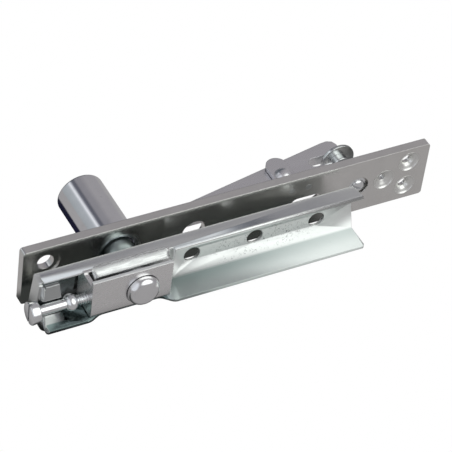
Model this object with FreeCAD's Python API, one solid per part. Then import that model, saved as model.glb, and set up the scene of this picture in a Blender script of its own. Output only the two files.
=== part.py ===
import FreeCAD, Part
import math
import os

from FreeCAD import Vector

# Door top pivot: a plate with a retractable pin for the head of the frame, and a folded
# arm with a socket for the top of the door. Millimetres. The pin's axis is the Y axis,
# the plate's front face is y = 0, X runs along the plate and Z across it.

# plate for the frame
PLATE_LENGTH = 204.0
PLATE_LEFT = -46.6
PLATE_RIGHT = PLATE_LEFT + PLATE_LENGTH
PLATE_THICK = 4.2
PLATE_WIDTH = 30.5
PLATE_CORNER = 1.5
SPIGOT_R = 10.0
BIG_HOLE_INSET = 11.1
BIG_HOLE_Z = 6.2
BIG_HOLE_R = 4.0
BIG_HOLE_RING_R = 6.7
BIG_HOLE_RING_DEEP = 0.7
ACCESS_X = 37.2
ACCESS_R = 5.6
ACCESS_CHAMFER = 0.8
SLOT_X = 94.0
SLOT_R = 3.0
SLOT_LENGTH = 15.6
CSK_R = 2.2
CSK_HEAD_R = 5.2
CSK_DEEP = 3.0
LEFT_CSK_INSET = 11.0
LEFT_CSK_Z = -7.7
RIGHT_PAIR_INSET = 10.2
RIGHT_PAIR_Z = 7.2
RIGHT_MID_INSET = 22.4

# barrel and pin
BARREL_R = 11.2
BARREL_END = 41.5
BARREL_EDGE = 1.2
BARREL_FOOT_EDGE = 0.5
PIN_R = 6.5
PIN_CLEARANCE = 0.05
MOUTH_R = 8.5
MOUTH_DEEP = 5.5
MOUTH_EDGE_R = 11.0
MOUTH_EDGE_DEEP = 1.1
SIDE_SLOT_Z = 2.9
SIDE_SLOT_FROM = 5.0
SIDE_SLOT_TO = 33.0
PIN_TIP = -20.3
PIN_BACK = 17.5
PIN_TIP_CHAMFER = 1.4
PIN_BACK_CHAMFER = 0.6
PIN_NOTCH_X = -2.3
PIN_NOTCH_Z = 2.8
PIN_NOTCH_FROM = 5.9
PIN_NOTCH_TO = 9.5
CAP_R = 9.2
CAP_THICK = 1.6

# lever
LEVER_Z = 2.5
PIVOT_X = 89.9
PIVOT_Y = 15.0
PIVOT_R = 2.5
PIVOT_CLEARANCE = 0.05
TIP_Y = 7.7
TIP_R = 1.4
TIP_HALF = 0.8
NOSE_X = 7.5
NOSE_FRONT_Y = 7.8
NOSE_BACK_Y = 9.2
NECK_X = 13.5
NECK_BACK_Y = 10.5
EDGE_Y = 6.5
BACK_X = 47.7
BACK_Y = 17.0
NEAR_PRONG_Y = 13.9
PRONG_END_Y = 30.6
PRONG_CORNER = 3.6
FORK_X = 105.8
FORK_Y = 19.6
FORK_R = 2.8
FAR_PRONG_X = 124.4
NEAR_PRONG_X = 116.4

# lug that carries the lever
EAR_Z = 2.8
LUG_THICK = 2.0
EAR_R = 5.2
EAR_CENTRE_Y = 21.6
LUG_FOOT_HALF = 6.6
LUG_FOOT_MARGIN = 2.75
LUG_FOOT_Z = PLATE_WIDTH / 2 - LUG_FOOT_MARGIN
LUG_RIVET_R = 1.5
LUG_RIVET_X = 4.3
LUG_RIVET_INSET = 3.7
LUG_RIVET_Z = LUG_FOOT_Z - LUG_RIVET_INSET
RIVET_HEAD_R = 4.25
RIVET_HEAD_HIGH = 2.6
RIVET_TAIL_R = 4.0
RIVET_TAIL_THICK = 1.2
RIVET_GAP = 0.35

# retracting screw, tapped through the plate, with a disc riveted on its end
SCREW_X = 121.2
SCREW_R = 3.0
SCREW_CLEARANCE = 0.08
SCREW_STUB_R = 2.4
SCREW_STUB_HIGH = 0.5
SCREW_SEAT_R = 5.4
SCREW_SEAT_DEEP = 2.6
SCREW_HEAD_R = 4.8
SCREW_HEAD_PROUD = 0.8
SCREW_SLOT_WIDE = 1.2
SCREW_SLOT_DEEP = 1.3
DISC_R = 8.5
DISC_FROM = 19.0
DISC_THICK = 1.6
DISC_CLEARANCE = 0.05
HUB_R = 4.2
HUB_FROM = 15.3

# folded arm for the door
SHEET = 1.6
BEND = 1.0
BEND_OUT = 1.3
BEND_IN = 0.5
ARM_FRONT = -14.4
ARM_BACK = -6.4
ARM_TOP = 8.5
ARM_BOTTOM = -11.1
ARM_FLANGE_FRONT = -26.9
TOP_FRONT = -12.6
TOP_LEFT = -42.2
WEB_LEFT = 19.9
WEB_RIGHT = 111.3
WEB_RIGHT_TOP = WEB_RIGHT - 2.8
TOP_RIGHT = WEB_RIGHT + 3.8
TOP_RIGHT_BACK = TOP_RIGHT - 1.6
FLANGE_LEFT = -45.2
FLANGE_LEFT_FRONT = -24.8
FLANGE_CORNER = 1.2
WEB_HOLE_R = 4.0
WEB_HOLE_X = 59.8
WEB_HOLE_PITCH = 31.3
WEB_HOLE_Z = 2.3
RECESS_FRONT = -22.1
RECESS_LEFT = -17.0
RECESS_LEFT_FROM = -26.0
RECESS_RIGHT = 8.6
RECESS_RIGHT_TO = 17.2
BACK_WALL_RIGHT = 25.0
PIN_SLOT_X = 9.5
PIN_SLOT_Z = 6.85
END_LEFT_TOP = -44.3
END_LEFT_BOTTOM = -46.5
END_BEND = 1.9
TONGUE_FRONT_TOP = -14.5
TONGUE_FRONT_BOTTOM = -22.5
TONGUE_TOP = 6.9
TONGUE_RIGHT = -35.6
TONGUE_CORNER = 2.4
END_SLOT_FROM = -4.9
END_SLOT_TO = 1.1
END_SLOT_BACK = -14.0

# bearing slide and cup
SLIDE_LEFT = -24.3
SLIDE_RIGHT = 14.2
SLIDE_BACK_RIGHT = 17.0
SLIDE_FRONT = -23.9
SLIDE_BOTTOM = -9.2
SLIDE_BACK = -12.9
SLIDE_TOP = 11.3
SLIDE_BACK_TOP = 9.2
TAB_THICK = 2.0
TAB_TOP = 8.6
TAB_REACH = -9.4
TAB_REACH_TOP = 6.5
PAD_LEFT = -20.6
PAD_RIGHT = 16.2
PAD_FRONT = -17.9
PAD_BOTTOM = -7.0
PAD_TOP = 9.5
PAD_CORNER = 2.0
PAD_EDGE = 0.7
CUP_R = 7.5
CUP_HOLE_R = 7.85
CUP_TIP = -27.9
CUP_FLANGE_R = 9.0
CUP_FLANGE_THICK = 0.9
CUP_FLANGE_FLAT = -7.0
CUP_EDGE = 3.0
CUP_BORE_END = -24.5

# adjusting screw
ADJ_Y = -18.8
ADJ_Z = -1.5
ADJ_HEAD_R = 5.3
ADJ_HEAD_FROM = -53.0
ADJ_HEAD_TO = -48.6
ADJ_SLOT_WIDE = 1.3
ADJ_SLOT_DEEP = 1.6
ADJ_SHANK_R = 2.2
ADJ_THREAD_R = 2.4
ADJ_THREAD_FROM = -29.6
ADJ_THREAD_TO = -18.5
ADJ_TAPPED_R = 2.5
ADJ_POCKET_R = 2.85
ADJ_POCKET_END = -15.8
COLLAR_R = 4.05
COLLAR_FROM = -34.3
COLLAR_EDGE = 1.7

ALONG_X = Vector(1, 0, 0)
ALONG_Y = Vector(0, 1, 0)
ALONG_Z = Vector(0, 0, 1)


def rod_y(r, y0, y1, x=0.0, z=0.0):
    return Part.makeCylinder(r, y1 - y0, Vector(x, y0, z), ALONG_Y)


def rod_z(r, z0, z1, x=0.0, y=0.0):
    return Part.makeCylinder(r, z1 - z0, Vector(x, y, z0), ALONG_Z)


def rod_x(r, x0, x1, y=0.0, z=0.0):
    return Part.makeCylinder(r, x1 - x0, Vector(x0, y, z), ALONG_X)


def cone_y(r0, r1, y0, y1, x=0.0, z=0.0):
    return Part.makeCone(r0, r1, y1 - y0, Vector(x, y0, z), ALONG_Y)


def block(x0, x1, y0, y1, z0, z1):
    return Part.makeBox(x1 - x0, y1 - y0, z1 - z0, Vector(x0, y0, z0))


def prism_z(points, z0, z1):
    ring = [Vector(x, y, z0) for x, y in points]
    face = Part.Face(Part.makePolygon(ring + [ring[0]]))
    return face.extrude(Vector(0, 0, z1 - z0))


def prism_y(points, y0, y1):
    ring = [Vector(x, y0, z) for x, z in points]
    face = Part.Face(Part.makePolygon(ring + [ring[0]]))
    return face.extrude(Vector(0, y1 - y0, 0))


def prism_x(points, x0, x1):
    ring = [Vector(x0, y, z) for y, z in points]
    face = Part.Face(Part.makePolygon(ring + [ring[0]]))
    return face.extrude(Vector(x1 - x0, 0, 0))


def slanted_edge(shape, low, high):
    found = []
    for edge in shape.Edges:
        a = edge.valueAt(edge.FirstParameter)
        b = edge.valueAt(edge.LastParameter)
        if a.z > b.z:
            a, b = b, a
        if a.distanceToPoint(low) < 0.01 and b.distanceToPoint(high) < 0.01:
            found.append(edge)
    return found


def edges_along(shape, axis, keep):
    found = []
    for edge in shape.Edges:
        a = edge.valueAt(edge.FirstParameter)
        b = edge.valueAt(edge.LastParameter)
        run = b - a
        if run.Length < 1e-6 or not isinstance(edge.Curve, (Part.Line, Part.LineSegment)):
            continue
        if abs(abs(run.dot(axis)) - run.Length) < 1e-6 and keep((a + b) * 0.5):
            found.append(edge)
    return found


def circles_at(shape, radius, keep):
    found = []
    for edge in shape.Edges:
        if isinstance(edge.Curve, Part.Circle) and abs(edge.Curve.Radius - radius) < 1e-6:
            if keep(edge.Curve.Center):
                found.append(edge)
    return found


def frame_plate():
    half = PLATE_WIDTH / 2
    body = block(PLATE_LEFT, PLATE_RIGHT, 0, PLATE_THICK, -half, half)
    body = body.makeFillet(PLATE_CORNER, edges_along(body, ALONG_Y, lambda m: True))
    cuts = [rod_y(SPIGOT_R, -1, PLATE_THICK + 1)]
    cuts.append(cone_y(MOUTH_EDGE_R, MOUTH_R, 0, MOUTH_EDGE_DEEP))
    big_x = PLATE_LEFT + BIG_HOLE_INSET
    cuts.append(rod_y(BIG_HOLE_R, -1, PLATE_THICK + 1, big_x, BIG_HOLE_Z))
    cuts.append(rod_y(BIG_HOLE_RING_R, -1, BIG_HOLE_RING_DEEP, big_x, BIG_HOLE_Z))
    cuts.append(rod_y(ACCESS_R, -1, PLATE_THICK + 1, ACCESS_X))
    cuts.append(cone_y(ACCESS_R + ACCESS_CHAMFER, ACCESS_R, 0, ACCESS_CHAMFER, ACCESS_X))
    run = SLOT_LENGTH / 2 - SLOT_R
    cuts.append(block(SLOT_X - run, SLOT_X + run, -1, PLATE_THICK + 1, -SLOT_R, SLOT_R))
    for side in (-1, 1):
        cuts.append(rod_y(SLOT_R, -1, PLATE_THICK + 1, SLOT_X + side * run))
    cuts.append(rod_y(SCREW_R + SCREW_CLEARANCE, -1, PLATE_THICK + 1, SCREW_X))
    cuts.append(rod_y(SCREW_SEAT_R, -1, SCREW_SEAT_DEEP, SCREW_X))
    pair_x = PLATE_RIGHT - RIGHT_PAIR_INSET
    spots = [(PLATE_LEFT + LEFT_CSK_INSET, LEFT_CSK_Z), (PLATE_RIGHT - RIGHT_MID_INSET, 0),
             (pair_x, RIGHT_PAIR_Z), (pair_x, -RIGHT_PAIR_Z)]
    for x, z in spots:
        cuts.append(rod_y(CSK_R, -1, PLATE_THICK + 1, x, z))
        cuts.append(cone_y(CSK_HEAD_R, CSK_R, 0, CSK_DEEP, x, z))
    for side in (-1, 1):
        x = PIVOT_X + side * LUG_RIVET_X
        cuts.append(rod_y(LUG_RIVET_R, -1, PLATE_THICK + 1, x, LUG_RIVET_Z))
    return body.cut(cuts)


def pin_barrel():
    body = rod_y(BARREL_R, PLATE_THICK, BARREL_END)
    back = circles_at(body, BARREL_R, lambda c: c.y > BARREL_END - 0.1)
    body = body.makeFillet(BARREL_EDGE, back)
    body = body.fuse(rod_y(SPIGOT_R, 0, PLATE_THICK)).removeSplitter()
    cuts = [rod_y(PIN_R + PIN_CLEARANCE, -1, BARREL_END - CAP_THICK)]
    cuts.append(rod_y(CAP_R, BARREL_END - CAP_THICK, BARREL_END + 1))
    cuts.append(rod_y(MOUTH_R, -1, MOUTH_DEEP))
    cuts.append(cone_y(MOUTH_EDGE_R, MOUTH_R, 0, MOUTH_EDGE_DEEP))
    cuts.append(block(0, BARREL_R + 1, SIDE_SLOT_FROM, SIDE_SLOT_TO, -SIDE_SLOT_Z, SIDE_SLOT_Z))
    return body.cut(cuts)


def barrel_cap():
    body = rod_y(CAP_R, BARREL_END - CAP_THICK, BARREL_END)
    return body.makeChamfer(0.3, circles_at(body, CAP_R, lambda c: c.y > BARREL_END - 0.1))


def pivot_pin():
    body = rod_y(PIN_R, PIN_TIP, PIN_BACK)
    body = body.makeChamfer(PIN_TIP_CHAMFER, circles_at(body, PIN_R, lambda c: c.y < 0))
    body = body.makeChamfer(PIN_BACK_CHAMFER, circles_at(
        body, PIN_R, lambda c: c.y > PIN_BACK - 0.1))
    notch = block(PIN_NOTCH_X, PIN_R + 1, PIN_NOTCH_FROM, PIN_NOTCH_TO, -PIN_NOTCH_Z, PIN_NOTCH_Z)
    return body.cut(notch)


def lever():
    outline = [(0.0, TIP_Y - TIP_HALF), (NOSE_X, NOSE_FRONT_Y), (NECK_X, EDGE_Y)]
    outline += [(PIVOT_X, EDGE_Y), (NEAR_PRONG_X - 1.0, NEAR_PRONG_Y - 1.0)]
    outline += [(NEAR_PRONG_X, NEAR_PRONG_Y), (NEAR_PRONG_X, FORK_Y), (FAR_PRONG_X, FORK_Y)]
    outline += [(FAR_PRONG_X, PRONG_END_Y - PRONG_CORNER),
                (FAR_PRONG_X - PRONG_CORNER * 0.3, PRONG_END_Y - PRONG_CORNER * 0.3),
                (FAR_PRONG_X - PRONG_CORNER, PRONG_END_Y)]
    outline += [(FAR_PRONG_X - 2 * PRONG_CORNER, PRONG_END_Y - 0.4), (BACK_X, BACK_Y)]
    outline += [(NECK_X, NECK_BACK_Y), (NOSE_X, NOSE_BACK_Y), (0.0, TIP_Y + TIP_HALF)]
    body = prism_z(outline, -LEVER_Z, LEVER_Z)
    body = body.fuse(rod_z(TIP_R, -LEVER_Z, LEVER_Z, 0, TIP_Y))
    cuts = [rod_z(FORK_R, -5, 5, FORK_X + FORK_R, FORK_Y)]
    cuts.append(block(FORK_X + FORK_R, FAR_PRONG_X + 2, FORK_Y - FORK_R, FORK_Y + FORK_R, -5, 5))
    cuts.append(rod_z(PIVOT_R + PIVOT_CLEARANCE, -5, 5, PIVOT_X, PIVOT_Y))
    return body.cut(cuts).removeSplitter()


def lever_lug():
    foot_y = PLATE_THICK + LUG_THICK
    ear = prism_z([(PIVOT_X - LUG_FOOT_HALF, PLATE_THICK), (PIVOT_X + LUG_FOOT_HALF, PLATE_THICK),
                   (PIVOT_X + LUG_FOOT_HALF, foot_y + 1.5), (PIVOT_X + EAR_R, foot_y + 5.0),
                   (PIVOT_X + EAR_R, EAR_CENTRE_Y), (PIVOT_X - EAR_R, EAR_CENTRE_Y),
                   (PIVOT_X - EAR_R, foot_y + 5.0), (PIVOT_X - LUG_FOOT_HALF, foot_y + 1.5)],
                  EAR_Z, EAR_Z + LUG_THICK)
    ear = ear.fuse(rod_z(EAR_R, EAR_Z, EAR_Z + LUG_THICK, PIVOT_X, EAR_CENTRE_Y))
    foot = block(PIVOT_X - LUG_FOOT_HALF, PIVOT_X + LUG_FOOT_HALF, PLATE_THICK, foot_y,
                 EAR_Z, LUG_FOOT_Z)
    body = ear.fuse(foot).removeSplitter()
    cuts = [rod_z(PIVOT_R, EAR_Z - 1, EAR_Z + LUG_THICK + 1, PIVOT_X, PIVOT_Y)]
    for side in (-1, 1):
        x = PIVOT_X + side * LUG_RIVET_X
        cuts.append(rod_y(LUG_RIVET_R, PLATE_THICK - 1, foot_y + 1, x, LUG_RIVET_Z))
    return body.cut(cuts)


def lug_rivet(side):
    x = PIVOT_X + side * LUG_RIVET_X
    foot_y = PLATE_THICK + LUG_THICK
    body = rod_y(LUG_RIVET_R, 0, foot_y, x, LUG_RIVET_Z)
    head = Part.makeSphere(2.6, Vector(x, foot_y - 1.3, LUG_RIVET_Z))
    head = head.common(block(x - 4, x + 4, foot_y, foot_y + 4, LUG_RIVET_Z - 4, LUG_RIVET_Z + 4))
    return body.fuse(head).removeSplitter()


def lever_rivet():
    low = -LEVER_Z - RIVET_GAP - RIVET_TAIL_THICK
    top = EAR_Z + LUG_THICK
    body = rod_z(PIVOT_R, low, top, PIVOT_X, PIVOT_Y)
    tail = rod_z(RIVET_TAIL_R, low, -LEVER_Z - RIVET_GAP, PIVOT_X, PIVOT_Y)
    tail = tail.makeChamfer(0.4, circles_at(tail, RIVET_TAIL_R, lambda c: c.z < low + 0.1))
    ball = (RIVET_HEAD_R ** 2 + RIVET_HEAD_HIGH ** 2) / (2 * RIVET_HEAD_HIGH)
    head = Part.makeSphere(ball, Vector(PIVOT_X, PIVOT_Y, top + RIVET_HEAD_HIGH - ball))
    head = head.common(rod_z(RIVET_HEAD_R + 1, top, top + 6, PIVOT_X, PIVOT_Y))
    return body.fuse([tail, head]).removeSplitter()


def retracting_screw():
    end = DISC_FROM + DISC_THICK
    body = rod_y(SCREW_R, 0, end - 0.4, SCREW_X)
    stub = rod_y(SCREW_STUB_R, 0, end + SCREW_STUB_HIGH, SCREW_X)
    body = body.fuse(stub)
    head = rod_y(SCREW_HEAD_R, -SCREW_HEAD_PROUD, SCREW_SEAT_DEEP, SCREW_X)
    head = head.makeFillet(0.9, circles_at(head, SCREW_HEAD_R, lambda c: c.y < 0))
    body = body.fuse(head).removeSplitter()
    wide = SCREW_SLOT_WIDE / 2
    slot = block(SCREW_X - SCREW_HEAD_R - 1, SCREW_X + SCREW_HEAD_R + 1, -SCREW_HEAD_PROUD - 1,
                 -SCREW_HEAD_PROUD + SCREW_SLOT_DEEP, -wide, wide)
    slot.rotate(Vector(SCREW_X, 0, 0), ALONG_Y, 25)
    return body.cut(slot)


def screw_disc():
    disc = rod_y(DISC_R, DISC_FROM, DISC_FROM + DISC_THICK, SCREW_X)
    disc = disc.makeFillet(0.4, circles_at(disc, DISC_R, lambda c: True))
    hub = rod_y(HUB_R, HUB_FROM, DISC_FROM + 0.5, SCREW_X)
    hub = hub.makeFillet(1.0, circles_at(hub, HUB_R, lambda c: c.y < DISC_FROM))
    body = disc.fuse(hub).removeSplitter()
    step = DISC_FROM + DISC_THICK - 0.4 + DISC_CLEARANCE
    body = body.cut(rod_y(SCREW_R + DISC_CLEARANCE, 0, step, SCREW_X))
    return body.cut(rod_y(SCREW_STUB_R + DISC_CLEARANCE, 0, 2 * DISC_FROM, SCREW_X))


def end_box(inset, right, drop):
    """Space bounded by the end wall and the slanted tongue, moved inwards by inset."""
    z0 = ARM_BOTTOM - drop
    z1 = ARM_TOP - inset
    lean_x = (END_LEFT_TOP - END_LEFT_BOTTOM) / (ARM_TOP - ARM_BOTTOM)
    lean_y = (TONGUE_FRONT_TOP - TONGUE_FRONT_BOTTOM) / (TONGUE_TOP - ARM_BOTTOM)
    x0 = END_LEFT_BOTTOM + inset + lean_x * (z0 - ARM_BOTTOM)
    x1 = END_LEFT_BOTTOM + inset + lean_x * (z1 - ARM_BOTTOM)
    y0 = TONGUE_FRONT_BOTTOM + inset + lean_y * (z0 - ARM_BOTTOM)
    y1 = TONGUE_FRONT_BOTTOM + inset + lean_y * (z1 - ARM_BOTTOM)
    back = ARM_BACK - inset
    sides = prism_y([(x0, z0), (x1, z1), (right, z1), (right, z0)], y0 - 5, back)
    body = sides.common(prism_x([(y0, z0), (y1, z1), (back, z1), (back, z0)], x0 - 5, right + 5))
    corner = slanted_edge(body, Vector(x0, y0, z0), Vector(x1, y1, z1))
    return body.makeFillet(TONGUE_CORNER - inset, corner)


def folded_end():
    outer = end_box(0.0, TONGUE_RIGHT, 0.0)
    body = outer.cut(end_box(SHEET, TONGUE_RIGHT + 5, 1.0))
    cuts = [block(END_LEFT_BOTTOM - 5, TONGUE_RIGHT + 5, TONGUE_FRONT_BOTTOM - 5, TOP_FRONT,
                  TONGUE_TOP, ARM_TOP + 1)]
    cuts.append(block(END_LEFT_BOTTOM - 5, TONGUE_RIGHT + 5, TONGUE_FRONT_BOTTOM - 5,
                      END_SLOT_BACK, END_SLOT_FROM, END_SLOT_TO))
    cuts.append(block(END_LEFT_TOP + SHEET, TOP_LEFT, TONGUE_FRONT_BOTTOM, ARM_BACK - SHEET,
                      ARM_TOP - SHEET - 1, ARM_TOP + 1))
    return body.cut(cuts)


def s_curve(x0, y0, x1, y1, z):
    pull = (x1 - x0) * 0.45
    curve = Part.BezierCurve()
    curve.setPoles([Vector(x0, y0, z), Vector(x0 + pull, y0, z),
                    Vector(x1 - pull, y1, z), Vector(x1, y1, z)])
    return curve.toShape()


def lower_flange():
    z = ARM_BOTTOM
    inner = ARM_FRONT + SHEET
    ends = [(RECESS_RIGHT_TO, ARM_FLANGE_FRONT), (WEB_RIGHT, ARM_FLANGE_FRONT), (WEB_RIGHT, inner),
            (WEB_LEFT, inner), (WEB_LEFT, ARM_BACK), (FLANGE_LEFT, ARM_BACK),
            (FLANGE_LEFT, FLANGE_LEFT_FRONT), (RECESS_LEFT_FROM, FLANGE_LEFT_FRONT)]
    ring = [Vector(x, y, z) for x, y in ends]
    edges = [Part.makeLine(a, b) for a, b in zip(ring, ring[1:])]
    edges.append(s_curve(RECESS_LEFT_FROM, FLANGE_LEFT_FRONT, RECESS_LEFT, RECESS_FRONT, z))
    edges.append(Part.makeLine(Vector(RECESS_LEFT, RECESS_FRONT, z),
                               Vector(RECESS_RIGHT, RECESS_FRONT, z)))
    edges.append(s_curve(RECESS_RIGHT, RECESS_FRONT, RECESS_RIGHT_TO, ARM_FLANGE_FRONT, z))
    plate = Part.Face(Part.Wire(edges)).extrude(Vector(0, 0, SHEET))
    corners = edges_along(plate, ALONG_Z, lambda m: m.y < FLANGE_LEFT_FRONT + 0.1
                          and (m.x < FLANGE_LEFT + 0.1 or m.x > WEB_RIGHT - 0.1))
    return plate.makeFillet(FLANGE_CORNER, corners)


def bent_channel():
    middle = (ARM_TOP + ARM_BOTTOM) / 2
    outer = block(WEB_LEFT, WEB_RIGHT, ARM_FRONT, ARM_BACK, middle - SHEET, ARM_TOP)
    outer = outer.makeFillet(BEND_OUT, edges_along(
        outer, ALONG_X, lambda m: m.y < ARM_FRONT + 0.1 and m.z > ARM_TOP - 0.1))
    inner = block(WEB_LEFT - 1, WEB_RIGHT + 1, ARM_FRONT + SHEET, ARM_BACK + 1,
                  middle - 2 * SHEET, ARM_TOP - SHEET)
    inner = inner.makeFillet(BEND_IN, edges_along(
        inner, ALONG_X, lambda m: m.y < ARM_FRONT + SHEET + 0.1 and m.z > ARM_TOP - SHEET - 0.1))
    bend = outer.cut(inner)
    web = block(WEB_LEFT, WEB_RIGHT, ARM_FRONT, ARM_FRONT + SHEET, ARM_BOTTOM, middle)
    web = web.makeFillet(BEND, edges_along(
        web, ALONG_X, lambda m: m.y > ARM_FRONT + 0.1 and m.z < ARM_BOTTOM + 0.1))
    tops = prism_z([(TOP_LEFT, TOP_FRONT), (WEB_LEFT + 1, TOP_FRONT), (WEB_LEFT + 1, ARM_BACK),
                    (TOP_LEFT, ARM_BACK)], ARM_TOP - SHEET, ARM_TOP)
    low = ARM_TOP - SHEET
    bend = bend.cut(prism_y([(WEB_RIGHT_TOP, low), (WEB_RIGHT, ARM_BOTTOM + SHEET),
                             (WEB_RIGHT + 2, ARM_BOTTOM + SHEET), (WEB_RIGHT + 2, low)],
                            ARM_FRONT - 1, ARM_BACK + 1))
    web = web.cut(prism_y([(WEB_RIGHT_TOP, low), (WEB_RIGHT, ARM_BOTTOM + SHEET),
                           (WEB_RIGHT + 2, ARM_BOTTOM + SHEET), (WEB_RIGHT + 2, low)],
                          ARM_FRONT - 1, ARM_BACK + 1))
    ends = block(WEB_RIGHT - 1, TOP_RIGHT, ARM_FRONT, ARM_BACK, low, ARM_TOP)
    ends = ends.makeFillet(BEND_OUT, edges_along(
        ends, ALONG_X, lambda m: m.y < ARM_FRONT + 0.1 and m.z > ARM_TOP - 0.1))
    ends = ends.cut(prism_z([(TOP_RIGHT, ARM_FRONT), (TOP_RIGHT_BACK, ARM_BACK + 0.01),
                             (TOP_RIGHT + 1, ARM_BACK + 0.01), (TOP_RIGHT + 1, ARM_FRONT)],
                            low - 1, ARM_TOP + 1))
    return bend.fuse([web, tops, ends])


def arm_sheet():
    wall = block(TOP_LEFT, BACK_WALL_RIGHT, ARM_BACK - SHEET, ARM_BACK,
                 ARM_BOTTOM + SHEET, ARM_TOP - SHEET)
    wall = wall.cut(block(-PIN_SLOT_X, PIN_SLOT_X, ARM_BACK - 5, ARM_BACK + 5,
                          -PIN_SLOT_Z, PIN_SLOT_Z))
    body = bent_channel().fuse([lower_flange(), wall, folded_end()]).removeSplitter()
    cuts = []
    for step in (-1, 0, 1):
        x = WEB_HOLE_X + step * WEB_HOLE_PITCH
        cuts.append(rod_y(WEB_HOLE_R, ARM_FRONT - 1, ARM_FRONT + SHEET + 1, x, WEB_HOLE_Z))
    return body.cut(cuts)


# the folded sheet is two solids that meet face to face in the plane of the web's left edge
def left_of_web():
    return block(END_LEFT_BOTTOM - 20, WEB_LEFT, ARM_FLANGE_FRONT - 20, ARM_BACK + 20,
                 ARM_BOTTOM - 20, ARM_TOP + 20)


def door_arm(sheet):
    return sheet.cut(left_of_web())


def arm_end(sheet):
    return sheet.common(left_of_web())


def bearing_slide():
    outer = block(SLIDE_LEFT, SLIDE_BACK_RIGHT, SLIDE_FRONT, SLIDE_BACK, SLIDE_BOTTOM, SLIDE_TOP)
    outer = outer.makeFillet(BEND_OUT, edges_along(
        outer, ALONG_X, lambda m: m.z < SLIDE_BOTTOM + 0.1))
    inner = block(SLIDE_LEFT - 1, SLIDE_BACK_RIGHT + 1, SLIDE_FRONT + SHEET, SLIDE_BACK - SHEET,
                  SLIDE_BOTTOM + SHEET, SLIDE_TOP + 1)
    inner = inner.makeFillet(BEND_IN, edges_along(
        inner, ALONG_X, lambda m: m.z < SLIDE_BOTTOM + SHEET + 0.1))
    body = outer.cut(inner)
    body = body.cut([block(SLIDE_RIGHT, SLIDE_BACK_RIGHT + 1, SLIDE_FRONT - 1, SLIDE_BACK - SHEET,
                           SLIDE_BOTTOM - 1, SLIDE_TOP + 1),
                     block(SLIDE_RIGHT, SLIDE_BACK_RIGHT + 1, SLIDE_FRONT - 1, SLIDE_BACK + 1,
                           SLIDE_BOTTOM - 1, SLIDE_BOTTOM + SHEET + 1.2),
                     block(SLIDE_LEFT - 1, SLIDE_BACK_RIGHT + 1, SLIDE_BACK - SHEET - 0.5,
                           SLIDE_BACK + 1, SLIDE_BACK_TOP, SLIDE_TOP + 1)])
    tab = block(SLIDE_LEFT, SLIDE_LEFT + TAB_THICK, SLIDE_FRONT + SHEET, SLIDE_BACK - SHEET,
                SLIDE_BOTTOM + SHEET, TAB_TOP)
    reach = block(SLIDE_LEFT, SLIDE_LEFT + TAB_THICK, SLIDE_BACK - SHEET, TAB_REACH,
                  SLIDE_BOTTOM + SHEET + 0.4, TAB_REACH_TOP)
    body = body.fuse([tab, reach]).removeSplitter()
    cuts = [rod_y(CUP_HOLE_R, SLIDE_FRONT - 1, SLIDE_FRONT + SHEET + 0.1)]
    cuts.append(rod_y(PIN_R + PIN_CLEARANCE, SLIDE_BACK - SHEET - 1, SLIDE_BACK + 1))
    cuts.append(rod_x(ADJ_TAPPED_R, SLIDE_LEFT - 1, SLIDE_LEFT + TAB_THICK + 1, ADJ_Y, ADJ_Z))
    cuts.append(rod_x(ADJ_POCKET_R, SLIDE_LEFT + TAB_THICK, ADJ_POCKET_END, ADJ_Y, ADJ_Z))
    return body.cut(cuts)


def bearing_pad():
    body = block(PAD_LEFT, PAD_RIGHT, PAD_FRONT, SLIDE_BACK - SHEET, PAD_BOTTOM, PAD_TOP)
    body = body.makeChamfer(PAD_CORNER, edges_along(body, ALONG_Y, lambda m: m.z > PAD_TOP - 0.1))
    body = body.makeFillet(PAD_EDGE, edges_along(
        body, ALONG_X, lambda m: m.z > PAD_TOP - 0.1 and m.y < PAD_FRONT + 0.1))
    return body.cut([rod_y(PIN_R + PIN_CLEARANCE, PAD_FRONT - 1, SLIDE_BACK),
                     rod_x(ADJ_POCKET_R, PAD_LEFT - 1, ADJ_POCKET_END, ADJ_Y, ADJ_Z)])


def bearing_cup():
    back = SLIDE_FRONT + SHEET
    body = rod_y(CUP_R, CUP_TIP, back + CUP_FLANGE_THICK)
    body = body.makeFillet(CUP_EDGE, circles_at(body, CUP_R, lambda c: c.y < CUP_TIP + 0.1))
    flange = rod_y(CUP_FLANGE_R, back, back + CUP_FLANGE_THICK)
    body = body.fuse(flange).removeSplitter()
    body = body.cut(block(-CUP_FLANGE_R, CUP_FLANGE_R, back, back + CUP_FLANGE_THICK + 1,
                          -CUP_FLANGE_R - 1, CUP_FLANGE_FLAT))
    return body.cut(rod_y(PIN_R + PIN_CLEARANCE, CUP_BORE_END, back + CUP_FLANGE_THICK + 1))


def adjusting_screw():
    head = rod_x(ADJ_HEAD_R, ADJ_HEAD_FROM, ADJ_HEAD_TO, ADJ_Y, ADJ_Z)
    head = head.makeFillet(0.9, circles_at(head, ADJ_HEAD_R, lambda c: True))
    parts = [rod_x(ADJ_SHANK_R, ADJ_HEAD_TO - 0.5, ADJ_THREAD_FROM + 0.5, ADJ_Y, ADJ_Z)]
    thread = rod_x(ADJ_THREAD_R, ADJ_THREAD_FROM, ADJ_THREAD_TO, ADJ_Y, ADJ_Z)
    thread = thread.makeChamfer(0.4, circles_at(thread, ADJ_THREAD_R, lambda c: c.x > ADJ_THREAD_TO - 0.1))
    parts.append(thread)
    body = head.fuse(parts).removeSplitter()
    wide = ADJ_SLOT_WIDE / 2
    slot = block(ADJ_HEAD_FROM - 1, ADJ_HEAD_FROM + ADJ_SLOT_DEEP, ADJ_Y - wide, ADJ_Y + wide,
                 ADJ_Z - ADJ_HEAD_R - 1, ADJ_Z + ADJ_HEAD_R + 1)
    return body.cut(slot)


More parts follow.
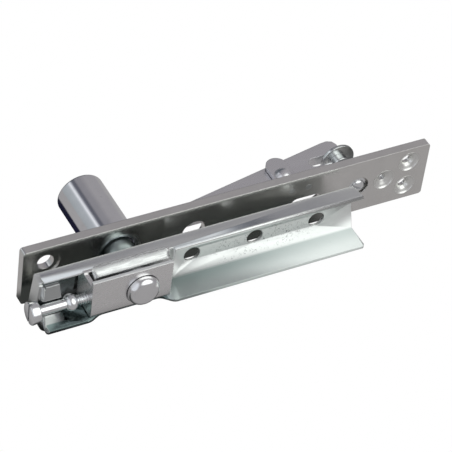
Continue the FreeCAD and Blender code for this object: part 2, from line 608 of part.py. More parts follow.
def adjuster_collar():
    body = rod_x(COLLAR_R, COLLAR_FROM, ADJ_THREAD_FROM, ADJ_Y, ADJ_Z)
    body = body.makeFillet(COLLAR_EDGE, circles_at(body, COLLAR_R, lambda c: True))
    return body.cut(rod_x(ADJ_SHANK_R, COLLAR_FROM - 1, ADJ_THREAD_FROM + 1, ADJ_Y, ADJ_Z))


os.makedirs("parts", exist_ok=True)

SHEET_OF_ARM = arm_sheet()

PIECES = {
    "frame_plate": frame_plate(),
    "pin_barrel": pin_barrel(),
    "barrel_cap": barrel_cap(),
    "pivot_pin": pivot_pin(),
    "lever": lever(),
    "lever_lug": lever_lug(),
    "lug_rivet_left": lug_rivet(-1),
    "lug_rivet_right": lug_rivet(1),
    "lever_rivet": lever_rivet(),
    "retracting_screw": retracting_screw(),
    "screw_disc": screw_disc(),
    "door_arm": door_arm(SHEET_OF_ARM),
    "arm_end": arm_end(SHEET_OF_ARM),
    "bearing_slide": bearing_slide(),
    "bearing_pad": bearing_pad(),
    "bearing_cup": bearing_cup(),
    "adjusting_screw": adjusting_screw(),
    "adjuster_collar": adjuster_collar(),
}

for name, shape in PIECES.items():
    if not shape.isValid() or len(shape.Solids) != 1:
        raise RuntimeError(name + " is not one valid solid")
    if shape.ShapeType != "Solid":
        shape = shape.Solids[0]
    shape.exportStep("parts/" + name + ".step")
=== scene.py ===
import math

import bmesh
import bpy
from mathutils import Matrix, Vector


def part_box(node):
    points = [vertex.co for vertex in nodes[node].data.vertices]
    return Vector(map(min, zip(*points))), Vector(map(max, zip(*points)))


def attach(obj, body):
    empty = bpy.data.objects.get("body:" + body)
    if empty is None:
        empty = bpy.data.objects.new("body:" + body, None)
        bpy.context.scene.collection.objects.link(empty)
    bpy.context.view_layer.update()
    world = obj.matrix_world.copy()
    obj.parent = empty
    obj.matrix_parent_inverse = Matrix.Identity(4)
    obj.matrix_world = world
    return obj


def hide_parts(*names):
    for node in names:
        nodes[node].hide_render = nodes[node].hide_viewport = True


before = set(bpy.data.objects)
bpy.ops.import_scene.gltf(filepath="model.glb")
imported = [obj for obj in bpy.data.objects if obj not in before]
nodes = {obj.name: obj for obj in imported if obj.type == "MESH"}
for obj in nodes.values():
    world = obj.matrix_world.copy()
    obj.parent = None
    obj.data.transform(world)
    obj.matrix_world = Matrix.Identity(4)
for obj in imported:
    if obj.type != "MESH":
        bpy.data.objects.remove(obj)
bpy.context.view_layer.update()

MM = 0.001
SMOOTH_ANGLE = 35
WELD_DISTANCE = 1e-6
ROUND_STEPS = 64
WHITE = (1.0, 1.0, 1.0, 1.0)

# camera of the photo: its place, its right, up and back directions, and its lens in millimetres
EYE = Vector((-0.4073, -0.7184, 0.7893))
RIGHT = Vector((0.885019, -0.454029, 0.102953))
UP = Vector((0.245091, 0.642396, 0.726125))
BACK = Vector((-0.395819, -0.617401, 0.679811))
LENS = 207.08
SENSOR = 36.0
PICTURE_SIZE = 452
CLIP_START = 0.05
CLIP_END = 20.0

# pale floor, and the grey and the patches that the plating mirrors of it: painted shadows and a
# painted pool of light; each pair of numbers is where a soft change starts and ends, in metres
FLOOR_Z = -0.01535
FLOOR_HALF = 4.0
FLOOR_GREY = (0.80, 0.79, 0.79)
FLOOR_MIRRORED = (0.410, 0.402, 0.405)
FLOOR_PAINTED_PATCHES = (
    # painted shadow, under the barrel
    {"x_rise": (-0.031, -0.025), "x_fall": (0.010, 0.020), "y_rise": (0.002, 0.008),
     "y_fall": (0.075, 0.085), "strength": 1.0, "colour": (0.012, 0.013, 0.030)},
    # painted shadow, under the arm
    {"x_rise": (-0.060, -0.050), "x_fall": (0.098, 0.125), "y_rise": (-0.034, -0.024),
     "y_fall": (0.004, 0.010), "strength": 0.92, "colour": (0.016, 0.021, 0.019)},
    # painted pool of light, in front of the arm's web
    {"x_rise": (0.030, 0.042), "x_fall": (0.112, 0.124), "y_rise": (-0.0562, -0.0538),
     "y_fall": (-0.0307, -0.0283), "strength": 1.0, "colour": (0.900, 0.920, 0.900)},
)

# room around the object: grey, with a lamp above in front, a light box at the left, a banded screen
# behind and a dark wall straight behind; each pair of numbers is where a soft change starts and ends,
# in parts of a unit direction, and a band's number is its share of the half turn over the object
SKY_GREY = (0.375, 0.365, 0.380)
LAMP_DIR = Vector((0.40, -0.62, 0.68)).normalized()
LAMP_SPREAD = (0.76, 0.93)
LAMP_COLOUR = (1.75, 1.80, 1.76)
LEFT_BOX_X = (-0.60, -0.35)
LEFT_BOX_Y = (0.10, 0.25)
LEFT_BOX = (0.850, 0.880, 0.930)
SCREEN_Y = (0.30, 0.50)
SCREEN = (
    (0.000, SKY_GREY),
    (0.340, SKY_GREY),
    (0.440, (0.300, 0.295, 0.315)),
    (0.560, (0.290, 0.285, 0.310)),
    (0.610, (0.120, 0.125, 0.150)),
    (0.665, (0.150, 0.155, 0.190)),
    (0.700, (0.620, 0.640, 0.680)),
    (0.735, (1.000, 1.020, 1.060)),
    (0.770, (0.640, 0.670, 0.700)),
    (0.800, (0.470, 0.500, 0.530)),
    (1.000, (0.400, 0.430, 0.445)),
)
DARK_BACK_Y = (0.72, 0.86)
DARK_BACK = (0.100, 0.115, 0.130)

# zinc plating: its noises as scale, detail and roughness, the range of noise that counts, and how dark
# the darkest tone is
CLOUD_NOISE = (120.0, 4.0, 0.6)
GRAIN_NOISE = (1500.0, 3.0, 0.7)
SPECK_NOISE = (700.0, 2.0, 0.5)
NOISE_MIDDLE = (0.30, 0.70)
SPECK_EDGE = (0.70, 0.76)
DARK_TONE = 0.35
GRAIN_HEIGHT = 0.00003
EDGE_SAMPLES = 6

# arm, soft changes in metres: the open side is its web and long lower flange, right of the slide and
# below the top bend; the tray is the lower flange's part under the slide
OPEN_SIDE_X = (0.010, 0.017)
OPEN_SIDE_Z = (0.0062, 0.0078)
OPEN_SIDE_ROUGHER = 0.27
# painted shade on the lower flange, deeper to the left and towards its fold with the web
FLANGE_Z = (-0.0094, -0.0085)
FLANGE_Y = (-0.0150, -0.0138)
FLANGE_LENGTH = (0.015, 0.100)
FLANGE_LENGTH_SHADE = (0.56, 0.22)
FLANGE_DEPTH = (-0.0250, -0.0150)
FLANGE_FOLD_SHADE = 0.28
FLANGE_PAINTED_SHADE = (0.20, 0.27, 0.26, 1.0)
# painted shade on the arm's end, on its lip and on its low part
END_X = (-0.0354, -0.0350)
END_LIP_Y = (-0.0135, -0.0125)
END_LIP_SHADE = 0.55
END_LOW_Z = (-0.0060, -0.0045)
END_LOW_SHADE = 0.35
END_PAINTED_SHADE = (0.25, 0.26, 0.26, 1.0)
# painted shade on the tray, the lower flange's part under the slide
TRAY_LEFT = (-0.0444, -0.0436)
TRAY_RIGHT = (0.0126, 0.0134)
TRAY_Z = (-0.0090, -0.0084)
TRAY_SHADE = 0.85
TRAY_PAINTED_SHADE = (0.10, 0.14, 0.14, 1.0)

# arm: dark specks on the web between its holes
SPECKS_LEFT = (0.034, 0.046)
SPECKS_RIGHT = (0.084, 0.096)
SPECKS_BOTTOM = (-0.0095, -0.0065)
SPECKS_TOP = (0.0045, 0.0075)
SPECKS_CLOUD_NOISE = (140.0, 2.0, 0.5)
SPECKS_CLOUD = (0.40, 0.55)
SPECKS_DENSITY = 0.75
SPECKS_NOISE = (1500.0, 1.0, 0.5)
SPECKS_EDGE = (0.62, 0.68)
SPECKS_COLOUR = (0.10, 0.11, 0.11, 1.0)

# slide: its upper edge, paler by a painted highlight
SLIDE_EDGE_Z = (0.0108, 0.0111)
SLIDE_EDGE_ROUGHER = 0.32
SLIDE_EDGE_PAINTED_HIGHLIGHT = (0.97, 0.98, 0.97, 1.0)

# disc: painted shade darkens its face towards the right
DISC_X = (0.1165, 0.1275)
DISC_SHADE = 0.85
DISC_NOISE = (260.0, 2.0, 0.5)
DISC_NOISE_RANGE = (0.20, 0.80)
DISC_NOISE_TONE = (0.8, 1.1)
DISC_PAINTED_SHADE = (0.13, 0.14, 0.14, 1.0)

# joggle between the arm's web and the wall of its end, (x, y) and then z, in millimetres
JOGGLE = ((20.5, -14.3), (19.85, -14.3), (19.25, -12.6), (15.5, -12.6), (15.5, -11.3), (20.5, -11.3))
JOGGLE_Z = (-9.9, 7.2)

# pad in the slide, (y, z) of its outline in millimetres; its ends are rounded from a height upwards,
# where they narrow towards a middle line and drop
PAD_SHOULDER = ((-12.65, 8.75), (-12.55, 9.80))
PAD_SHOULDER_Z = 8.72
PAD_TOP_BACK = Vector((-12.80, 10.30))
PAD_TOP_FRONT = Vector((-17.00, 8.20))
PAD_TOP_STEPS = 8
PAD_CROWN = 0.22
PAD_TOP_NORMAL = Vector((-0.45, 0.89))
PAD_LIP = (0.25, 7.95)
PAD_FRONT_Z = (7.45, 6.6)
PAD_END_R = 2.4
PAD_END_STEPS = 8
PAD_END_FROM_Z = 6.5
PAD_END_RISE = 2.0
PAD_END_MIDDLE_Y = -15.2
PAD_END_NARROWING = 2.5
PAD_END_MOST = 0.6
PAD_END_DROP = 0.45
PAD_PIN_BORE_R = 6.55
PAD_PIN_BORE_OVER = 4.0
PAD_SCREW_BORE_R = 2.85
PAD_SCREW_BORE_END = -15.8
SCREW_LINE = (-18.8, -1.5)

# countersunk holes: x and z of the middle, the hole's radius and the cone's depth, in millimetres
COUNTERSINKS = {
    "upper": (147.2, 7.2, 2.2, 3.0),
    "lower": (147.2, -7.2, 2.2, 3.0),
    "middle": (135.0, 0.0, 1.65, 2.6),
}

# bowl in a countersunk hole: (depth, radius) from its rim inwards, in millimetres; the points of its
# foot are a share of the cone's depth and an amount over the hole's radius
BOWL_RIM = ((0.25, 5.35), (-0.05, 5.45), (-0.07, 5.38))
BOWL = ((-0.06, 5.30), (0.02, 5.15), (0.25, 4.95), (0.42, 4.75), (0.62, 4.35), (0.85, 3.85),
        (1.10, 3.35), (1.32, 3.05))
BOWL_FOOT = ((0.65, 0.45), (0.76, 0.05))
BOWL_BACK = 4.15
BOWL_WALL = 0.12
BOWL_SMOOTH_ANGLE = 50

# bush round the pin, in millimetres
BUSH_R = 7.35
BUSH_BORE_R = 6.62
BUSH_FRONT = -5.75
BUSH_BACK = 5.3
BUSH_EDGE = 0.3
BUSH_EDGE_STEPS = 4
BUSH_STEPS = 96
BUSH_SMOOTH_ANGLE = 40

# collar on the adjusting screw, its least radius in millimetres
COLLAR_LEAST_R = 2.25
COLLAR_FLATTENING = 1.35
COLLAR_RINGS = 16
COLLAR_STEPS = 48
COLLAR_SMOOTH_ANGLE = 50

# screws: steps round them, rings to a thread's pitch, and a tooth's slope and the cut at its root
SCREW_STEPS = 48
THREAD_RINGS = 10
TOOTH_SLOPE = 1.5
TOOTH_CUT = 0.2
SCREW_SMOOTH_ANGLE = 38


def rgba(c):
    return (c[0], c[1], c[2], 1.0)


class Tree:
    """Adds and links the shader nodes of a material or of the world."""

    def __init__(self, owner):
        owner.use_nodes = True
        self.tree = owner.node_tree
        self.tree.nodes.clear()

    def put(self, node, socket, value):
        target = node.inputs[socket]
        if isinstance(value, bpy.types.NodeSocket):
            self.tree.links.new(value, target)
        else:
            target.default_value = value

    def add(self, kind, **inputs):
        node = self.tree.nodes.new(kind)
        for key, value in inputs.items():
            self.put(node, key.replace("_", " "), value)
        return node

    def math(self, operation, a, b):
        node = self.tree.nodes.new("ShaderNodeMath")
        node.operation = operation
        self.put(node, 0, a)
        self.put(node, 1, b)
        return node.outputs[0]

    def plus(self, a, b):
        return self.math("ADD", a, b)

    def times(self, first, *others):
        product = first
        for other in others:
            product = self.math("MULTIPLY", product, other)
        return product

    def span(self, value, ends, results):
        """Soft change from the first result to the second while value goes from end to end."""
        node = self.tree.nodes.new("ShaderNodeMapRange")
        node.interpolation_type = "SMOOTHSTEP"
        self.put(node, "Value", value)
        self.put(node, "From Min", ends[0])
        self.put(node, "From Max", ends[1])
        self.put(node, "To Min", results[0])
        self.put(node, "To Max", results[1])
        return node.outputs["Result"]

    def rise(self, value, ends, top=1.0):
        return self.span(value, ends, (0.0, top))

    def fall(self, value, ends, top=1.0):
        return self.span(value, ends, (top, 0.0))

    def mix(self, factor, a, b):
        """Colour a where factor is 0, colour b where it is 1, by the sockets of a colour mix."""
        node = self.tree.nodes.new("ShaderNodeMix")
        node.data_type = "RGBA"
        self.put(node, 0, factor)
        self.put(node, 6, a)
        self.put(node, 7, b)
        return node.outputs[2]

    def noise(self, place, scale, detail, roughness):
        node = self.add("ShaderNodeTexNoise", Vector=place, Scale=scale, Detail=detail,
                        Roughness=roughness)
        return node.outputs[0]

    def xyz(self, vector):
        return self.add("ShaderNodeSeparateXYZ", Vector=vector).outputs


def plating(name, colour, rough, grain, specks, stretch=(1, 1, 1), edge=0.00025, bump=0.12, zones=None):
    """Zinc plating: uneven tone and roughness, fine grain, softened edges, a few dull specks."""
    mat = bpy.data.materials.new(name)
    t = Tree(mat)
    place = t.add("ShaderNodeTexCoord").outputs["Object"]
    drawn_out = t.add("ShaderNodeMapping", Vector=place, Scale=stretch).outputs[0]
    cloud = t.noise(drawn_out, *CLOUD_NOISE)
    fine = t.noise(drawn_out, *GRAIN_NOISE)
    dots = t.noise(place, *SPECK_NOISE)
    tone = t.times(t.span(cloud, NOISE_MIDDLE, (1.0 - grain, 1.0)),
                   t.span(dots, SPECK_EDGE, (1.0, 1.0 - specks)))
    base = t.mix(tone, rgba([c * DARK_TONE for c in colour]), rgba(colour))
    ruff = t.span(fine, NOISE_MIDDLE, (rough * (1.0 - bump), rough * (1.0 + bump)))
    if zones:
        base, ruff = zones(t, place, base, ruff)
    soft_edge = t.add("ShaderNodeBevel", Radius=edge)
    soft_edge.samples = EDGE_SAMPLES
    bumps = t.add("ShaderNodeBump", Strength=bump, Distance=GRAIN_HEIGHT, Height=fine,
                  Normal=soft_edge.outputs[0])
    bsdf = t.add("ShaderNodeBsdfPrincipled", Base_Color=base, Roughness=ruff, Metallic=1.0,
                 Normal=bumps.outputs[0])
    t.add("ShaderNodeOutputMaterial", Surface=bsdf.outputs[0])
    return mat


def arm_zones(t, place, base, ruff):
    """The arm's open side is duller; painted shade darkens its flange towards the fold, its tray and end.
    """
    x, y, z = t.xyz(place)
    open_side = t.times(t.rise(x, OPEN_SIDE_X), t.fall(z, OPEN_SIDE_Z))
    ruff = t.plus(ruff, t.times(open_side, OPEN_SIDE_ROUGHER))
    # painted shade on the lower flange
    flange = t.times(t.fall(z, FLANGE_Z), t.fall(y, FLANGE_Y))
    shade = t.plus(t.span(x, FLANGE_LENGTH, FLANGE_LENGTH_SHADE),
                   t.rise(y, FLANGE_DEPTH, FLANGE_FOLD_SHADE))
    base = t.mix(t.times(flange, shade), base, FLANGE_PAINTED_SHADE)
    # painted shade on the end's lip and low part
    lip = t.times(t.fall(x, END_X, END_LIP_SHADE), t.fall(y, END_LIP_Y))
    low_end = t.times(t.fall(x, END_X, END_LOW_SHADE), t.fall(z, END_LOW_Z))
    base = t.mix(t.plus(lip, low_end), base, END_PAINTED_SHADE)
    # painted shade on the tray under the slide
    tray = t.times(t.rise(x, TRAY_LEFT), t.fall(x, TRAY_RIGHT), t.fall(z, TRAY_Z), TRAY_SHADE)
    base = t.mix(tray, base, TRAY_PAINTED_SHADE)
    dots = t.noise(place, *SPECKS_NOISE)
    clouds = t.noise(place, *SPECKS_CLOUD_NOISE)
    specks = t.times(t.rise(x, SPECKS_LEFT), t.fall(x, SPECKS_RIGHT), t.rise(z, SPECKS_BOTTOM),
                     t.fall(z, SPECKS_TOP), t.rise(clouds, SPECKS_CLOUD, SPECKS_DENSITY),
                     t.rise(dots, SPECKS_EDGE))
    return t.mix(specks, base, SPECKS_COLOUR), ruff


def slide_zones(t, place, base, ruff):
    """The slide's upper edge is paler by a painted highlight, and duller than its faces."""
    # painted highlight along the upper edge
    top = t.rise(t.xyz(place)[2], SLIDE_EDGE_Z)
    base = t.mix(top, base, SLIDE_EDGE_PAINTED_HIGHLIGHT)
    return base, t.plus(ruff, t.times(top, SLIDE_EDGE_ROUGHER))


def disc_zones(t, place, base, ruff):
    """Turned face of the disc with painted shade, bright on its left side and dark on its right."""
    # painted shade on the disc's right side, made uneven by noise
    side = t.rise(t.xyz(place)[0], DISC_X, DISC_SHADE)
    uneven = t.noise(place, *DISC_NOISE)
    side = t.times(side, t.span(uneven, DISC_NOISE_RANGE, DISC_NOISE_TONE))
    return t.mix(side, base, DISC_PAINTED_SHADE), ruff


PLATINGS = {
    "plate": dict(colour=(0.78, 0.77, 0.75), rough=0.20, grain=0.08, specks=0.20),
    "sheet": dict(colour=(0.80, 0.82, 0.81), rough=0.22, grain=0.06, specks=0.10,
                  stretch=(0.5, 1, 1), edge=0.0004, bump=0.06, zones=arm_zones),
    "bowl": dict(colour=(0.82, 0.82, 0.80), rough=0.34, grain=0.08, specks=0.15, edge=0.0002, bump=0.2),
    "pad": dict(colour=(0.64, 0.65, 0.65), rough=0.30, grain=0.25, specks=0.05,
                stretch=(0.10, 1, 1), edge=0.0003, bump=0.5),
    "bush": dict(colour=(0.40, 0.46, 0.46), rough=0.34, grain=0.10, specks=0.10, edge=0.0003, bump=0.05),
    "slide": dict(colour=(0.84, 0.83, 0.83), rough=0.28, grain=0.06, specks=0.10,
                  stretch=(0.5, 1, 1), edge=0.0005, bump=0.05, zones=slide_zones),
    "bar": dict(colour=(0.82, 0.81, 0.83), rough=0.28, grain=0.08, specks=0.15,
                stretch=(0.4, 1, 1), edge=0.0004, bump=0.04),
    "disc": dict(colour=(0.86, 0.88, 0.88), rough=0.20, grain=0.08, specks=0.15, edge=0.0004, bump=0.06,
                 zones=disc_zones),
    "turned": dict(colour=(0.80, 0.80, 0.82), rough=0.13, grain=0.08, specks=0.35),
    "cup": dict(colour=(0.78, 0.78, 0.79), rough=0.16, grain=0.06, specks=0.15, edge=0.0004),
    "screw": dict(colour=(0.82, 0.83, 0.84), rough=0.18, grain=0.08, specks=0.20),
}
STEEL = {kind: plating(kind + "_plating", **values) for kind, values in PLATINGS.items()}

# plating of each CAD node
FINISH = {
    "frame_plate": "plate",
    "pin_barrel": "turned",
    "barrel_cap": "turned",
    "pivot_pin": "turned",
    "lever": "bar",
    "lever_lug": "bar",
    "lug_rivet_left": "screw",
    "lug_rivet_right": "screw",
    "lever_rivet": "bar",
    "retracting_screw": "screw",
    "screw_disc": "disc",
    "door_arm": "sheet",
    "arm_end": "sheet",
    "bearing_slide": "slide",
    "bearing_pad": "pad",
    "bearing_cup": "cup",
    "adjusting_screw": "screw",
    "adjuster_collar": "screw",
}


def cover(obj, steel):
    """Gives an object its one material."""
    obj.data.materials.clear()
    obj.data.materials.append(STEEL[steel])


def scaled(points):
    """Pairs in millimetres as pairs in metres."""
    return [(a * MM, b * MM) for a, b in points]


def quarter(count):
    """Angles over a quarter turn, without the first."""
    return [math.pi * i / (2 * count) for i in range(1, count + 1)]


def circle(steps):
    """Cosine and sine at equal steps round a circle."""
    return [(math.cos(2 * math.pi * k / steps), math.sin(2 * math.pi * k / steps)) for k in range(steps)]


def front_round(low, side, radius, count):
    """(distance, radius) points of a rounded corner from a front face out to the side."""
    return [(low + radius * (1 - math.cos(a)), side - radius * (1 - math.sin(a))) for a in quarter(count)]


def back_round(high, side, radius, count):
    """(distance, radius) points of a rounded corner from the side in to a back face."""
    return [(high - radius * (1 - math.sin(a)), side - radius * (1 - math.cos(a))) for a in quarter(count)]


def shade(mesh, angle):
    """Smooth faces that turn sharp above an angle."""
    for poly in mesh.polygons:
        poly.use_smooth = True
    mesh.set_sharp_from_angle(angle=math.radians(angle))


def link_object(name, mesh):
    obj = bpy.data.objects.new(name, mesh)
    bpy.context.scene.collection.objects.link(obj)
    return obj


def new_piece(name, mesh, angle=SMOOTH_ANGLE):
    shade(mesh, angle)
    return link_object(name, mesh)


def to_mesh(bm, name):
    bmesh.ops.recalc_face_normals(bm, faces=bm.faces)
    mesh = bpy.data.meshes.new(name)
    bm.to_mesh(mesh)
    bm.free()
    return mesh


def welded(name):
    """Copy of a CAD node's mesh with its split corners joined."""
    bm = bmesh.new()
    bm.from_mesh(nodes[name].data)
    bmesh.ops.remove_doubles(bm, verts=bm.verts, dist=WELD_DISTANCE)
    return to_mesh(bm, name + "_welded")


def combine(obj, tool_mesh, operation):
    """Adds a closed mesh to obj, or takes it away."""
    tool = link_object("tool", tool_mesh)
    step = obj.modifiers.new("combine", "BOOLEAN")
    step.operation = operation
    step.solver = "EXACT"
    step.object = tool
    bpy.context.view_layer.update()
    done = bpy.data.meshes.new_from_object(obj.evaluated_get(bpy.context.evaluated_depsgraph_get()))
    obj.modifiers.clear()
    obj.data = done
    bpy.data.objects.remove(tool)
    shade(done, SMOOTH_ANGLE)


def settle(obj, body, steel, slot, *replaced):
    """Material, body and the CAD nodes that a piece stands for."""
    cover(obj, steel)
    if replaced:
        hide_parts(*replaced)
    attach(obj, body)


def loft(loops, name):
    """Closed mesh through equal loops of points."""
    bm = bmesh.new()
    rows = [[bm.verts.new(point) for point in loop] for loop in loops]
    for low, high in zip(rows, rows[1:]):
        for k in range(len(low)):
            n = (k + 1) % len(low)
            bm.faces.new((low[k], low[n], high[n], high[k]))
    bm.faces.new(list(reversed(rows[0])))
    bm.faces.new(rows[-1])
    return to_mesh(bm, name)


def revolve(profile, centre, name, steps=ROUND_STEPS):
    """Closed ring about the Y direction from a closed profile of (y, radius)."""
    bm = bmesh.new()
    rows = []
    for u, v in circle(steps):
        rows.append([bm.verts.new((centre[0] + r * u, y, centre[1] + r * v)) for y, r in profile])
    for k in range(steps):
        here, after = rows[k], rows[(k + 1) % steps]
        for j in range(len(profile)):
            n = (j + 1) % len(profile)
            bm.faces.new((here[j], here[n], after[n], after[j]))
    return to_mesh(bm, name)


def round_bar(axis, radius, low, high, centre, name):
    """Cylinder's mesh along X or Y, used to bore holes."""
    loops = []
    for end in (low, high):
        ring = [(centre[0] + radius * u, centre[1] + radius * v) for u, v in circle(ROUND_STEPS)]
        if axis == "X":
            loops.append([(end, a, b) for a, b in ring])
        else:
            loops.append([(a, end, b) for a, b in ring])
    return loft(loops, name)


def whole_arm():
    """The arm's folded sheet as one piece, without the plane where its two solids meet."""
    obj = new_piece("arm_sheet", welded("door_arm"))
    combine(obj, welded("arm_end"), "UNION")
    ends = [[(x, y, z * MM) for x, y in scaled(JOGGLE)] for z in JOGGLE_Z]
    combine(obj, loft(ends, "joggle"), "UNION")
    settle(obj, "arm", "sheet", "plated_sheet", "door_arm", "arm_end")


def pad_profile(low, high):
    """(y, z) outline of the pad, with its top sloping forwards and slightly crowned."""
    top = []
    for i in range(PAD_TOP_STEPS + 1):
        t = i / PAD_TOP_STEPS
        point = PAD_TOP_BACK.lerp(PAD_TOP_FRONT, t) + PAD_TOP_NORMAL * (PAD_CROWN * math.sin(math.pi * t))
        top.append((point.x, point.y))
    back = [(high.y, low.z), (high.y, PAD_SHOULDER_Z * MM)]
    front = [(low.y + PAD_LIP[0] * MM, PAD_LIP[1] * MM)]
    front += [(low.y, z * MM) for z in PAD_FRONT_Z]
    return back + scaled(PAD_SHOULDER) + scaled(top) + front + [(low.y, low.z)]


def sloping_pad():
    """Thick pad in the slide with a sloping top and round ends."""
    low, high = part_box("bearing_pad")
    profile = pad_profile(low, high)
    radius = PAD_END_R * MM
    length = high.x - low.x
    cuts = [radius * (1 - math.cos(math.pi * i / (2 * PAD_END_STEPS))) for i in range(PAD_END_STEPS + 1)]
    loops = []
    for place in cuts + [length - c for c in reversed(cuts)]:
        near = min(place, length - place, radius)
        inset = radius - math.sqrt(radius * radius - (radius - near) ** 2)
        loop = []
        for y, z in profile:
            lift = (z - PAD_END_FROM_Z * MM) / (PAD_END_RISE * MM)
            shrink = inset * min(1.0, max(0.0, lift))
            inwards = min(PAD_END_MOST, shrink / (PAD_END_NARROWING * MM))
            loop.append((low.x + place, y + (PAD_END_MIDDLE_Y * MM - y) * inwards,
                         z - PAD_END_DROP * shrink))
        loops.append(loop)
    obj = new_piece("sloping_pad", loft(loops, "sloping_pad"))
    pin_bore = round_bar("Y", PAD_PIN_BORE_R * MM, low.y - MM, high.y + PAD_PIN_BORE_OVER * MM, (0.0, 0.0),
                         "pin_bore")
    combine(obj, pin_bore, "DIFFERENCE")
    screw_bore = round_bar("X", PAD_SCREW_BORE_R * MM, low.x - MM, PAD_SCREW_BORE_END * MM,
                           (SCREW_LINE[0] * MM, SCREW_LINE[1] * MM), "screw_bore")
    combine(obj, screw_bore, "DIFFERENCE")
    settle(obj, "slide", "pad", "plated_sheet", "bearing_pad")


def countersinks():
    """Smooth bowls in the plate's countersunk holes."""
    for which, (x, z, hole, deep) in COUNTERSINKS.items():
        profile = BOWL_RIM + BOWL
        profile += tuple((deep * share, hole + over) for share, over in BOWL_FOOT)
        profile += ((BOWL_BACK, hole), (BOWL_BACK, hole + BOWL_WALL))
        name = "countersink_" + which
        obj = new_piece(name, revolve(scaled(profile), (x * MM, z * MM), name), BOWL_SMOOTH_ANGLE)
        settle(obj, "frame", "bowl", "plated_plate")


def pin_bush():
    """Plain bush that the pin slides in, standing out of the plate's mouth."""
    profile = [(BUSH_FRONT, BUSH_BORE_R + BUSH_EDGE), (BUSH_FRONT, BUSH_R - BUSH_EDGE)]
    profile += front_round(BUSH_FRONT, BUSH_R, BUSH_EDGE, BUSH_EDGE_STEPS)
    profile += [(BUSH_BACK, BUSH_R), (BUSH_BACK, BUSH_BORE_R), (BUSH_FRONT + BUSH_EDGE, BUSH_BORE_R)]
    ring = revolve(scaled(profile), (0.0, 0.0), "pin_bush", BUSH_STEPS)
    obj = new_piece("pin_bush", ring, BUSH_SMOOTH_ANGLE)
    settle(obj, "frame", "bush", "turned_steel")


def ball_collar():
    """Collar on the adjusting screw, round like a ball."""
    low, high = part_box("adjuster_collar")
    centre = (low + high) / 2
    half = (high.x - low.x) / 2
    ball = (high.z - low.z) / 2
    loops = []
    for i in range(COLLAR_RINGS + 1):
        along = -half * math.cos(math.pi * i / COLLAR_RINGS)
        radius = math.sqrt(max(ball * ball - along * along * COLLAR_FLATTENING, (COLLAR_LEAST_R * MM) ** 2))
        loops.append([(centre.x + along, centre.y + radius * u, centre.z + radius * v)
                      for u, v in circle(COLLAR_STEPS)])
    obj = new_piece("ball_collar", loft(loops, "ball_collar"), COLLAR_SMOOTH_ANGLE)
    settle(obj, "adjuster", "screw", "screw_steel", "adjuster_collar")


def thread_radius(d, share, thread):
    """Radius of a wound thread at a distance and a share of a turn; it runs out at both ends."""
    start, end, root, crest, pitch = thread
    phase = (d / pitch - share) % 1.0
    tooth = TOOTH_SLOPE * (1.0 - abs(2.0 * phase - 1.0)) - TOOTH_CUT
    run_out = min(1.0, (d - start) / pitch, (end - d) / pitch)
    return root + (crest - root) * min(1.0, max(0.0, tooth)) * max(0.0, run_out)


def turned_screw(node, body, origin, axis, rings, thread, slot, slot_turn):
    """Screw from (distance, radius) rings about an axis, with a wound thread and a slot, all in
    millimetres and degrees. The thread is start, end, root and crest radius and pitch; the slot is
    width, depth and half length."""
    rings = scaled(rings)
    thread = [value * MM for value in thread]
    start, end, pitch = thread[0], thread[1], thread[4]
    steps = SCREW_STEPS
    ring_count = int((end - start) / (pitch / THREAD_RINGS))
    stations = [(d, r) for d, r in rings if d < start]
    stations += [(start + (end - start) * i / ring_count, None) for i in range(ring_count + 1)]
    stations += [(d, r) for d, r in rings if d > end]
    loops = []
    for d, r in stations:
        loop = []
        for k, (u, v) in enumerate(circle(steps)):
            radius = thread_radius(d, k / steps, thread) if r is None else r
            loop.append((radius * u, radius * v, d))
        loops.append(loop)
    name = node + "_threaded"
    obj = new_piece(name, loft(loops, name))
    wide, deep, reach = [value * MM for value in slot]
    turn = Matrix.Rotation(math.radians(slot_turn), 3, "Z")
    corners = ((-wide / 2, -reach), (wide / 2, -reach), (wide / 2, reach), (-wide / 2, reach))
    ends = [[turn @ Vector((x, y, z)) for x, y in corners] for z in (-MM, deep)]
    combine(obj, loft(ends, "slot"), "DIFFERENCE")
    up = Vector((0, 0, 1))
    axis = Vector(axis)
    facing = Matrix((up.cross(axis), up, axis)).transposed().to_4x4()
    obj.data.transform(Matrix.Translation(Vector(origin) * MM) @ facing)
    shade(obj.data, SCREW_SMOOTH_ANGLE)
    settle(obj, body, "screw", "screw_steel", node)


def screws():
    """Both slotted screws with their threads."""
    head = [(0.0, 4.6)] + front_round(0.0, 5.3, 0.7, 6) + [(3.7, 5.0)] + back_round(4.6, 5.0, 0.9, 6)
    shank = [(4.6, 2.3), (21.8, 2.3), (33.2, 1.6)]
    turned_screw("adjusting_screw", "adjuster", (-51.7, *SCREW_LINE), (1, 0, 0), head + shank,
                 thread=(22.1, 33.0, 1.75, 2.45, 1.25), slot=(1.2, 1.6, 7.0), slot_turn=0)
    dome = [(0.0, 0.3)] + [(1.6 * (1 - math.cos(a)), 3.5 * math.sin(a)) for a in quarter(10)]
    rim = [(1.9, 4.7), (3.4, 4.7), (3.4, 2.6), (3.5, 2.6)]
    tail = [(21.0, 2.9), (21.0, 2.4), (21.9, 2.4)]
    turned_screw("retracting_screw", "screw", (121.2, -0.8, 0.0), (0, 1, 0), dome + rim + tail,
                 thread=(3.6, 20.8, 2.5, 2.98, 1.0), slot=(1.0, 1.5, 6.0), slot_turn=115)


def mirrored_floor(t):
    """Colour of the floor as the plating mirrors it, with painted shadows and a painted pool of light."""
    x, y, _ = t.xyz(t.add("ShaderNodeNewGeometry").outputs["Position"])
    seen = rgba(FLOOR_MIRRORED)
    for patch in FLOOR_PAINTED_PATCHES:
        share = t.times(t.rise(x, patch["x_rise"]), t.fall(x, patch["x_fall"]), t.rise(y, patch["y_rise"]),
                        t.fall(y, patch["y_fall"], patch["strength"]))
        seen = t.mix(share, seen, rgba(patch["colour"]))
    return seen


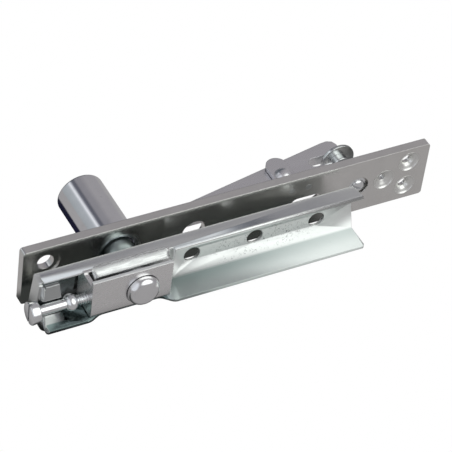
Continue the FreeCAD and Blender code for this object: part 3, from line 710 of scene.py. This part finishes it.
def pale_floor():
    """Pale floor under the object, white to the camera."""
    bm = bmesh.new()
    corners = ((-1, -1), (1, -1), (1, 1), (-1, 1))
    bm.faces.new([bm.verts.new((x * FLOOR_HALF, y * FLOOR_HALF, FLOOR_Z)) for x, y in corners])
    mesh = bpy.data.meshes.new("pale_floor")
    bm.to_mesh(mesh)
    bm.free()
    floor = link_object("pale_floor", mesh)
    mat = bpy.data.materials.new("pale_floor")
    t = Tree(mat)
    path = t.add("ShaderNodeLightPath")
    grey = t.add("ShaderNodeBsdfDiffuse", Color=rgba(FLOOR_GREY))
    # the floor that the plating mirrors, with painted shadows and a painted pool of light
    mirrored = t.add("ShaderNodeEmission", Color=mirrored_floor(t), Strength=1.0)
    white = t.add("ShaderNodeEmission", Color=WHITE, Strength=1.0)
    unseen = t.add("ShaderNodeMixShader", Fac=path.outputs["Is Glossy Ray"])
    t.put(unseen, 1, grey.outputs[0])
    t.put(unseen, 2, mirrored.outputs[0])
    both = t.add("ShaderNodeMixShader", Fac=path.outputs["Is Camera Ray"])
    t.put(both, 1, unseen.outputs[0])
    t.put(both, 2, white.outputs[0])
    t.add("ShaderNodeOutputMaterial", Surface=both.outputs[0])
    mesh.materials.append(mat)


def screen_ramp(t, around):
    """Colour of the banded screen at a share of the half turn over the object."""
    ramp = t.add("ShaderNodeValToRGB", Fac=around)
    stops = ramp.color_ramp.elements
    while len(stops) > 1:
        stops.remove(stops[0])
    first = stops[0]
    first.position = SCREEN[0][0]
    first.color = rgba(SCREEN[0][1])
    for place, colour in SCREEN[1:]:
        stop = stops.new(place)
        stop.color = rgba(colour)
    return ramp.outputs[0]


def studio():
    """World that lights the object, white to the camera."""
    world = bpy.data.worlds.new("studio")
    bpy.context.scene.world = world
    t = Tree(world)
    ray = t.add("ShaderNodeTexCoord").outputs["Generated"]
    x, y, z = t.xyz(ray)
    around = t.math("DIVIDE", t.math("ARCTAN2", z, x), math.pi)
    colour = t.mix(t.rise(y, SCREEN_Y), rgba(SKY_GREY), screen_ramp(t, around))
    colour = t.mix(t.rise(y, DARK_BACK_Y), colour, rgba(DARK_BACK))
    left = t.times(t.fall(x, LEFT_BOX_X), t.fall(y, LEFT_BOX_Y))
    colour = t.mix(left, colour, rgba(LEFT_BOX))
    towards_lamp = t.add("ShaderNodeVectorMath")
    towards_lamp.operation = "DOT_PRODUCT"
    t.put(towards_lamp, 0, ray)
    t.put(towards_lamp, 1, LAMP_DIR)
    colour = t.mix(t.rise(towards_lamp.outputs["Value"], LAMP_SPREAD), colour, rgba(LAMP_COLOUR))
    path = t.add("ShaderNodeLightPath")
    colour = t.mix(path.outputs["Is Camera Ray"], colour, WHITE)
    sky = t.add("ShaderNodeBackground", Color=colour, Strength=1.0)
    t.add("ShaderNodeOutputWorld", Surface=sky.outputs[0])


def photo_camera():
    lens = bpy.data.cameras.new("photo_camera")
    lens.sensor_width = SENSOR
    lens.lens = LENS
    lens.clip_start = CLIP_START
    lens.clip_end = CLIP_END
    camera = link_object("photo_camera", lens)
    camera.matrix_world = Matrix.Translation(EYE) @ Matrix((RIGHT, UP, BACK)).transposed().to_4x4()
    bpy.context.scene.camera = camera


def picture_settings():
    scene = bpy.context.scene
    scene.render.engine = "CYCLES"
    scene.cycles.samples = 256
    scene.cycles.use_denoising = True
    scene.cycles.seed = 3
    scene.cycles.max_bounces = 8
    scene.cycles.glossy_bounces = 6
    scene.render.resolution_x = PICTURE_SIZE
    scene.render.resolution_y = PICTURE_SIZE
    scene.render.film_transparent = False
    scene.view_settings.view_transform = "Standard"
    scene.view_settings.look = "None"
    scene.view_settings.exposure = 0.0
    scene.view_settings.gamma = 1.0


for name, obj in nodes.items():
    cover(obj, FINISH[name])

whole_arm()
sloping_pad()
countersinks()
pin_bush()
ball_collar()
screws()
pale_floor()
studio()
photo_camera()
picture_settings()
